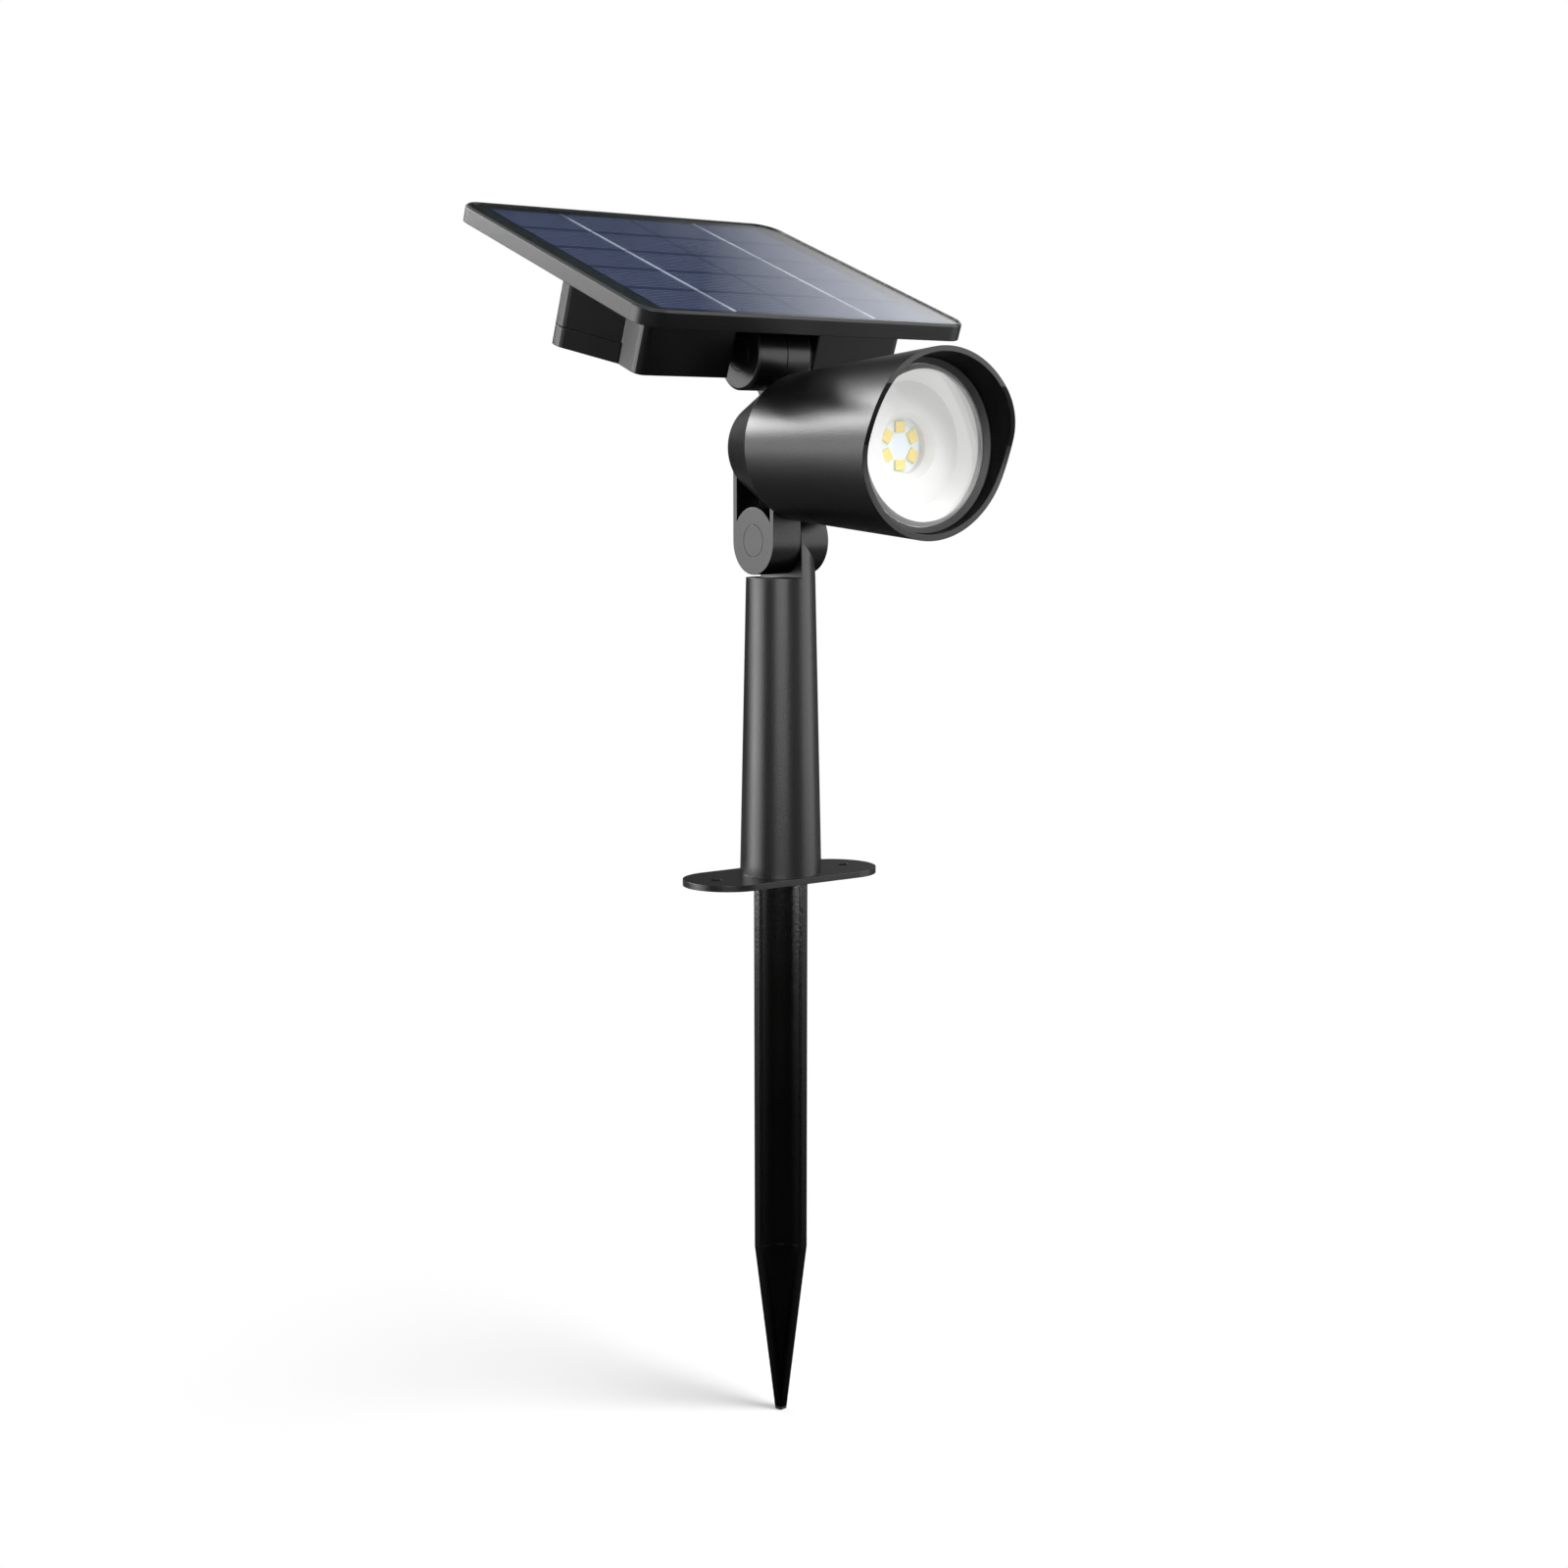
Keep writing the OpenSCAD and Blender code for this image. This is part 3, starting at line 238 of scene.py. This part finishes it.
finishes = {
    satinAbs: ["post", "lamp_housing", "panel_housing", "battery_lid"],
    spikePolypropylene: ["ground_spike"],
    capAbs: ["lower_near_cap", "lower_far_cap", "upper_near_cap", "upper_far_cap"],
    bezelAbs: ["bezel_ring"],
    lensPolycarbonate: ["front_lens"],
    coverGlass: ["panel_cover"],
    whitePlastic: ["reflector"],
    boardWhite: ["light_board"],
    phosphor: ["light_diodes"],
    zincSteel: ["lower_bolt", "lower_nut", "upper_bolt", "upper_nut", "heat_sink_screws", "lid_screws",
                "board_screws", "battery_contacts"],
    stampedAluminium: ["heat_sink"],
    siliconeRubber: ["lower_washer", "upper_washer", "lens_seal", "lid_seal", "power_button"],
    boardDark: ["backing_board"],
    siliconBlue: ["solar_cells"],
    tinnedRibbon: ["cell_ribbons"],
    cellWrap: ["battery"],
    boardGreen: ["control_board"],
    chipEpoxy: ["board_parts", "push_switch"],
}
for material, names in finishes.items():
    for name in names:
        nodes[name].data.materials.clear()
        nodes[name].data.materials.append(material)

# painted shade inside the hood: the faces in front of the bezel that look at the lamp's axis get the darker,
# duller ABS
hoodShadeZone = {"start": 0.2}  # from the bezel's front
housing = nodes["lamp_housing"].data
housing.materials.append(hoodShadeAbs)
for face in housing.polygons:
    x, y, z = face.center / mm
    across = Vector((x, 0, z - axisHeight))
    if -y > bezelFront + hoodShadeZone["start"] and face.normal.dot(across) < 0:
        face.material_index = 1

# the cover sheet's sides sit in dark glue
cover = nodes["panel_cover"].data
cover.materials.append(boardDark)
panelNormal = max(cover.polygons, key=lambda face: face.area).normal.copy()
for face in cover.polygons:
    if abs(face.normal.dot(panelNormal)) < 0.5:
        face.material_index = 1
print("materials set")


def repeatedPieces(name, centres, turns, size, material):  # a box on each point, by Geometry Nodes
    mesh = bpy.data.meshes.new(name)
    mesh.from_pydata(centres, [], [])
    turn = mesh.attributes.new("turn", "FLOAT_VECTOR", "POINT")
    for i, angles in enumerate(turns):
        turn.data[i].vector = angles
    obj = bpy.data.objects.new(name, mesh)
    bpy.context.scene.collection.objects.link(obj)
    group = bpy.data.node_groups.new(name + " pattern", "GeometryNodeTree")
    group.interface.new_socket("Points", in_out="INPUT", socket_type="NodeSocketGeometry")
    sizeSocket = group.interface.new_socket("Size", in_out="INPUT", socket_type="NodeSocketVector")
    finishSocket = group.interface.new_socket("Finish", in_out="INPUT", socket_type="NodeSocketMaterial")
    group.interface.new_socket("Pieces", in_out="OUTPUT", socket_type="NodeSocketGeometry")
    given = addNode(group, "NodeGroupInput")
    box = addNode(group, "GeometryNodeMeshCube", links={"Size": given.outputs["Size"]})
    angle = addNode(group, "GeometryNodeInputNamedAttribute", {"Name": "turn"}, data_type="FLOAT_VECTOR")
    rotation = addNode(group, "FunctionNodeEulerToRotation", links={0: angle.outputs[0]})
    copies = addNode(group, "GeometryNodeInstanceOnPoints",
                     links={"Points": given.outputs["Points"], "Instance": box.outputs["Mesh"],
                            "Rotation": rotation.outputs[0]})
    real = addNode(group, "GeometryNodeRealizeInstances", links={0: copies.outputs[0]})
    finish = addNode(group, "GeometryNodeSetMaterial", links={"Geometry": real.outputs[0],
                                                              "Material": given.outputs["Finish"]})
    addNode(group, "NodeGroupOutput", links={0: finish.outputs[0]})
    modifier = obj.modifiers.new("pattern", "NODES")
    modifier.node_group = group
    modifier[sizeSocket.identifier] = [side * mm for side in size]
    modifier[finishSocket.identifier] = material
    plain = bpy.data.meshes.new_from_object(obj.evaluated_get(bpy.context.evaluated_depsgraph_get()))
    obj.modifiers.clear()
    obj.data = plain
    return obj


# silver lines across the cells, in millimetres. They are wider and further apart than the real
# 0.1 mm ones, which would flicker
fingers = {"pitch": 1.9, "width": 0.14, "height": 0.04, "sideMargin": 0.2, "endMargin": 0.5,
           "columns": 2, "rows": 5, "cellGap": 0.4}
slope = math.asin(-joints["button_press"]["axis"][1])  # the button moves square to the panel
panelFrame = Matrix.Translation(joints["panel_tilt"]["pos_m"]) @ Matrix.Rotation(slope, 4, "X")
cellPoints = [panelFrame.inverted() @ vertex.co / mm for vertex in nodes["solar_cells"].data.vertices]
left, front, top = min(p.x for p in cellPoints), min(p.y for p in cellPoints), max(p.z for p in cellPoints)
gap = fingers["cellGap"]
columnPitch = (max(p.x for p in cellPoints) - left + gap) / fingers["columns"]
rowPitch = (max(p.y for p in cellPoints) - front + gap) / fingers["rows"]
perRow = int((rowPitch - 2 * fingers["endMargin"]) / fingers["pitch"])
places = [Vector((left + (column + 0.5) * columnPitch - gap / 2,
                  front + (row + 0.5) * rowPitch - gap / 2 + (i - (perRow - 1) / 2) * fingers["pitch"],
                  top + fingers["height"] / 2)) * mm
          for column in range(fingers["columns"]) for row in range(fingers["rows"]) for i in range(perRow)]
fingerLines = repeatedPieces("fingerLines", [panelFrame @ place for place in places],
                             [panelFrame.to_euler()] * len(places),
                             (columnPitch - gap - 2 * fingers["sideMargin"], fingers["width"],
                              fingers["height"]), fingerSilver)
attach(fingerLines, "panel_unit")
print("finger lines built:", len(places))

# ribbed edge of the lens: a band on its bevel painted grey and fine teeth across it painted pale, as painted
# light, each edge by its radius and how far it lies behind the bezel's front
lensEdge = {"inner": (24.55, 0.58), "outer": (26.15, 1.65), "segments": 192,
            "pitch": 0.42, "width": 0.2, "height": 0.14}


def onLamp(edge, angle):  # a point on one edge of the band, by its angle round the lamp's axis
    radius, behind = edge
    return Vector((radius * math.cos(angle), behind - bezelFront, axisHeight + radius * math.sin(angle))) * mm


inner, outer, segments = lensEdge["inner"], lensEdge["outer"], lensEdge["segments"]
bandPoints = [onLamp(edge, math.tau * i / segments) for i in range(segments) for edge in (inner, outer)]
lensBand = meshObject("lensBand", bandPoints,
                      [(2 * i, 2 * i + 1, (2 * i + 3) % (2 * segments), (2 * i + 2) % (2 * segments))
                       for i in range(segments)], lensEdgeGreyPaint)
teeth = round(math.tau * (inner[0] + outer[0]) / 2 / lensEdge["pitch"])
centres, turns = [], []
for i in range(teeth):
    angle = math.tau * i / teeth
    start, end = onLamp(inner, angle), onLamp(outer, angle)
    along = (end - start).normalized()
    side = Vector((-math.sin(angle), 0, math.cos(angle)))
    centres.append((start + end) / 2)
    turns.append(Matrix((along, side, along.cross(side))).transposed().to_euler())
lensRibs = repeatedPieces("lensRibs", centres, turns,
                          (math.dist(inner, outer), lensEdge["width"], lensEdge["height"]), paleToothHighlight)
for piece in (lensBand, lensRibs):
    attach(piece, "lamp_head")
print("lens edge built:", teeth, "teeth")

# camera by its place, lens and sensor in millimetres, tilt down and turn in degrees, and a studio round it
view = {"place": (-0.5083, -0.6777, 0.1419), "lens": 55.25, "sensor": 36.0, "down": 7.27, "turn": -36.95}
studio = {"floorSize": 30.0, "floorColour": "#f3f3f3", "floorBounce": "#e6e6e6", "ambient": 0.28,
          "shadowReach": (0.12, 0.34), "middle": (0, 0, 0.06), "cardDistance": 1.2, "cardStep": 2,
          "leastShade": 0.02}
floorHeight = cadBox[0][2]


def onRing(turn, distance, height):  # a point round the object, turned to the left of the camera
    angle = math.radians(view["turn"] - 90 - turn)
    return Vector((math.cos(angle) * distance, math.sin(angle) * distance, height))


def seenRays(tree):  # 1 for what the camera, gloss and clear parts show
    ray = addNode(tree, "ShaderNodeLightPath")
    gloss = addNode(tree, "ShaderNodeMath", links={0: ray.outputs["Is Camera Ray"],
                                                   1: ray.outputs["Is Glossy Ray"]}, operation="MAXIMUM")
    return addNode(tree, "ShaderNodeMath", links={0: gloss.outputs[0], 1: ray.outputs["Is Transmission Ray"]},
                   operation="MAXIMUM").outputs[0]


# the world shows plain white and lights the object less
world = bpy.data.worlds.new("white studio")
world.use_nodes = True
world.node_tree.nodes.clear()
bpy.context.scene.world = world
dim = addNode(world.node_tree, "ShaderNodeBackground", {"Color": (1, 1, 1, 1), "Strength": studio["ambient"]})
white = addNode(world.node_tree, "ShaderNodeBackground", {"Color": (1, 1, 1, 1), "Strength": 1.0})
both = addNode(world.node_tree, "ShaderNodeMixShader", links={0: seenRays(world.node_tree), 1: dim.outputs[0],
                                                              2: white.outputs[0]})
addNode(world.node_tree, "ShaderNodeOutputWorld", links={"Surface": both.outputs[0]})

# painted floor: matt near the object, so that it keeps the shadow, plain white further out, and clear
# from below
floorMaterial, floorTree = newMaterial("white studio floor")
floorTone = addNode(floorTree, "ShaderNodeMix", {6: hexColour(studio["floorBounce"]),
                                                 7: hexColour(studio["floorColour"])},
                    {0: seenRays(floorTree)}, data_type="RGBA")
matt = addNode(floorTree, "ShaderNodeBsdfPrincipled", {"Roughness": 0.9, "Specular IOR Level": 0.1},
               {"Base Color": floorTone.outputs[2]})
glow = addNode(floorTree, "ShaderNodeEmission", {"Color": (1, 1, 1, 1), "Strength": 1.0})
floorPlace = addNode(floorTree, "ShaderNodeTexCoord").outputs["Object"]
away = addNode(floorTree, "ShaderNodeVectorMath", links={0: floorPlace}, operation="LENGTH")
far = addNode(floorTree, "ShaderNodeMapRange", {"From Min": studio["shadowReach"][0],
                                                "From Max": studio["shadowReach"][1]},
              {"Value": away.outputs["Value"]}, interpolation_type="SMOOTHERSTEP")
shown = addNode(floorTree, "ShaderNodeMath", links={0: far.outputs["Result"], 1: seenRays(floorTree)},
                operation="MULTIPLY")
mixed = addNode(floorTree, "ShaderNodeMixShader", links={0: shown.outputs[0], 1: matt.outputs[0],
                                                         2: glow.outputs[0]})
below = addNode(floorTree, "ShaderNodeNewGeometry").outputs["Backfacing"]
clear = addNode(floorTree, "ShaderNodeBsdfTransparent", {"Color": (1, 1, 1, 1)})
sided = addNode(floorTree, "ShaderNodeMixShader", links={0: below, 1: mixed.outputs[0], 2: clear.outputs[0]})
addNode(floorTree, "ShaderNodeOutputMaterial", links={"Surface": sided.outputs[0]})
half = studio["floorSize"] / 2
corners = [(-half, -half, floorHeight), (half, -half, floorHeight), (half, half, floorHeight),
           (-half, half, floorHeight)]
floor = meshObject("floor", corners, [(0, 1, 2, 3)], floorMaterial)

# lamps: turn to the left of the camera and rise above the floor in degrees, distance and size in metres,
# and power in watts
lamps = {
    "key lamp": (-67, 44, 1.7, 1.1, 36),
    "back lamp": (150, 42, 1.8, 0.5, 3),
    "front lamp": (25, 12, 2.0, 1.4, 11),
    "top lamp": (180, 80, 1.6, 1.4, 6),
}
for name, (turn, rise, distance, size, power) in lamps.items():
    lamp = bpy.data.lights.new(name, "AREA")
    lamp.shape = "DISK"
    lamp.size = size
    lamp.energy = power
    lampObject = bpy.data.objects.new(name, lamp)
    height = studio["middle"][2] + distance * math.sin(math.radians(rise))
    lampObject.location = onRing(turn, distance * math.cos(math.radians(rise)), height)
    aim = Vector(studio["middle"]) - lampObject.location
    lampObject.rotation_euler = aim.to_track_quat("-Z", "Y").to_euler()
    lampObject.visible_glossy = False
    bpy.context.scene.collection.objects.link(lampObject)
print("floor and lamps set")


def glossSurface(name, points, faces, shades):  # glows by a shade at each point, for gloss only
    material, tree = newMaterial(name)
    shade = addNode(tree, "ShaderNodeAttribute", attribute_name="shade")
    light = addNode(tree, "ShaderNodeEmission", {"Color": (1, 1, 1, 1)}, {"Strength": shade.outputs["Fac"]})
    addNode(tree, "ShaderNodeOutputMaterial", links={"Surface": light.outputs[0]})
    surface = meshObject(name, points, faces, material)
    surface.data.attributes.new("shade", "FLOAT", "POINT").data.foreach_set("value", shades)
    for ray in ("camera", "diffuse", "shadow", "volume_scatter"):
        setattr(surface, "visible_" + ray, False)


# curved cards round the object: from and to, in degrees to the left of the camera, then for some heights
# in metres the brightness at both ends
cards = {
    "front card": (-22, 16, [(-0.19, 0.02, 0.02), (-0.06, 0.4, 0.4), (0.0, 4.4, 4.4), (1.3, 4.4, 4.4)]),
    "front left flag": (16, 56, [(-0.19, 0.1, 0.2), (0.0, 0.7, 0.2), (1.3, 0.3, 0.2)]),
    "left card": (56, 92, [(-0.19, 3.0, 9.5), (0.04, 3.5, 9.5), (0.1, 3.5, 7.0), (0.19, 2.0, 3.5),
                           (0.3, 2.0, 1.0), (0.42, 2.0, 5.0), (0.52, 3.0, 9.0), (0.66, 3.0, 9.0),
                           (0.8, 2.0, 4.0), (0.95, 0.2, 0.5), (1.3, 0.2, 0.2)]),
    "left card end": (92, 120, [(-0.19, 4.5, -1.0), (0.04, 4.5, -0.5), (0.09, 7.0, 1.6), (0.14, 7.0, 1.6),
                                (0.19, 4.0, 3.0), (0.24, 0.2, 1.4), (0.38, 0.2, 2.6), (0.42, 6.0, 6.5),
                                (0.5, 11.0, 15.0), (0.66, 12.0, 19.0), (0.78, 8.0, 18.0), (0.88, 2.0, 8.0),
                                (1.02, 0.2, 0.6), (1.3, 0.2, 0.2)]),
    "back left flag": (120, 172, [(-0.19, 0.3, 0.1), (-0.03, 0.1, 0.02), (0.36, 0.1, 0.02),
                                  (0.5, 10.0, -12.0), (0.66, 18.0, -16.0), (0.78, 18.0, -13.0),
                                  (0.88, 9.0, -3.5), (1.02, 1.0, -0.2), (1.3, 0.2, 0.2)]),
    "back card": (172, 194, [(-0.19, 0.05, 0.05), (0.4, 0.05, 0.2), (0.7, -0.2, 1.6), (0.84, -0.8, 1.0),
                             (0.95, -1.25, 0.5), (1.05, -1.3, 0.3), (1.3, -1.3, 0.2)]),
    "back right flag": (194, 220, [(-0.19, 0.15, 0.15), (0.3, 0.15, 0.15), (0.5, 1.0, 1.0), (1.3, 1.0, 1.0)]),
    "far right flag": (-140, -114, [(-0.19, 0.2, 0.4), (1.3, 0.2, 0.4)]),
    "right card": (-114, -68, [(-0.19, 1.6, 2.0), (-0.05, 2.8, 2.4), (1.3, 2.8, 2.4)]),
    "front right flag": (-68, -22, [(-0.19, 0.3, 0.1), (0.0, 0.6, 0.6), (1.3, 0.4, 0.3)]),
}
for name, (start, end, rows) in cards.items():
    steps = round((end - start) / studio["cardStep"])
    tall = len(rows)
    cardPoints = [onRing(start + (end - start) * i / steps, studio["cardDistance"], height)
                  for i in range(steps + 1) for height, first, last in rows]
    cardFaces = [(tall * i + k, tall * i + k + 1, tall * (i + 1) + k + 1, tall * (i + 1) + k)
                 for i in range(steps) for k in range(tall - 1)]
    # a value below zero at one end keeps the card dark until it rises past the least shade
    glossSurface(name, cardPoints, cardFaces, [max(studio["leastShade"], first + (last - first) * i / steps)
                                               for i in range(steps + 1) for height, first, last in rows])

# dark sheet on the floor that keeps the black plastic black below: its brightness for some turns to
# either side of the camera
sheetShades = [(0, 0.01), (45, 0.03), (65, 0.2), (78, 0.32), (92, 1.1), (108, 0.3), (130, 0.15), (180, 0.02)]
sheetSides = 72


def sheetShade(turn):
    side = min(turn, 360 - turn)
    after = next(k for k in range(1, len(sheetShades)) if side <= sheetShades[k][0])
    (turn1, shade1), (turn2, shade2) = sheetShades[after - 1], sheetShades[after]
    return shade1 + (shade2 - shade1) * (side - turn1) / (turn2 - turn1)


sheetTurns = [360 / sheetSides * i for i in range(sheetSides)]
sheetHeight = floorHeight + mm
glossSurface("dark sheet", [onRing(0, 0, sheetHeight)] +
             [onRing(turn, studio["cardDistance"], sheetHeight) for turn in sheetTurns],
             [(0, 1 + i, 1 + (i + 1) % sheetSides) for i in range(sheetSides)],
             [studio["leastShade"]] + [sheetShade(turn) for turn in sheetTurns])
print("cards set:", len(cards))

camera = bpy.data.cameras.new("camera")
camera.sensor_width = view["sensor"]
camera.lens = view["lens"]
camera.clip_end = 50
cameraObject = bpy.data.objects.new("camera", camera)
cameraObject.location = view["place"]
cameraObject.rotation_euler = (math.radians(90 - view["down"]), 0, math.radians(view["turn"]))
bpy.context.scene.collection.objects.link(cameraObject)
bpy.context.scene.camera = cameraObject
bpy.context.scene.view_settings.view_transform = "Standard"
print("camera set")
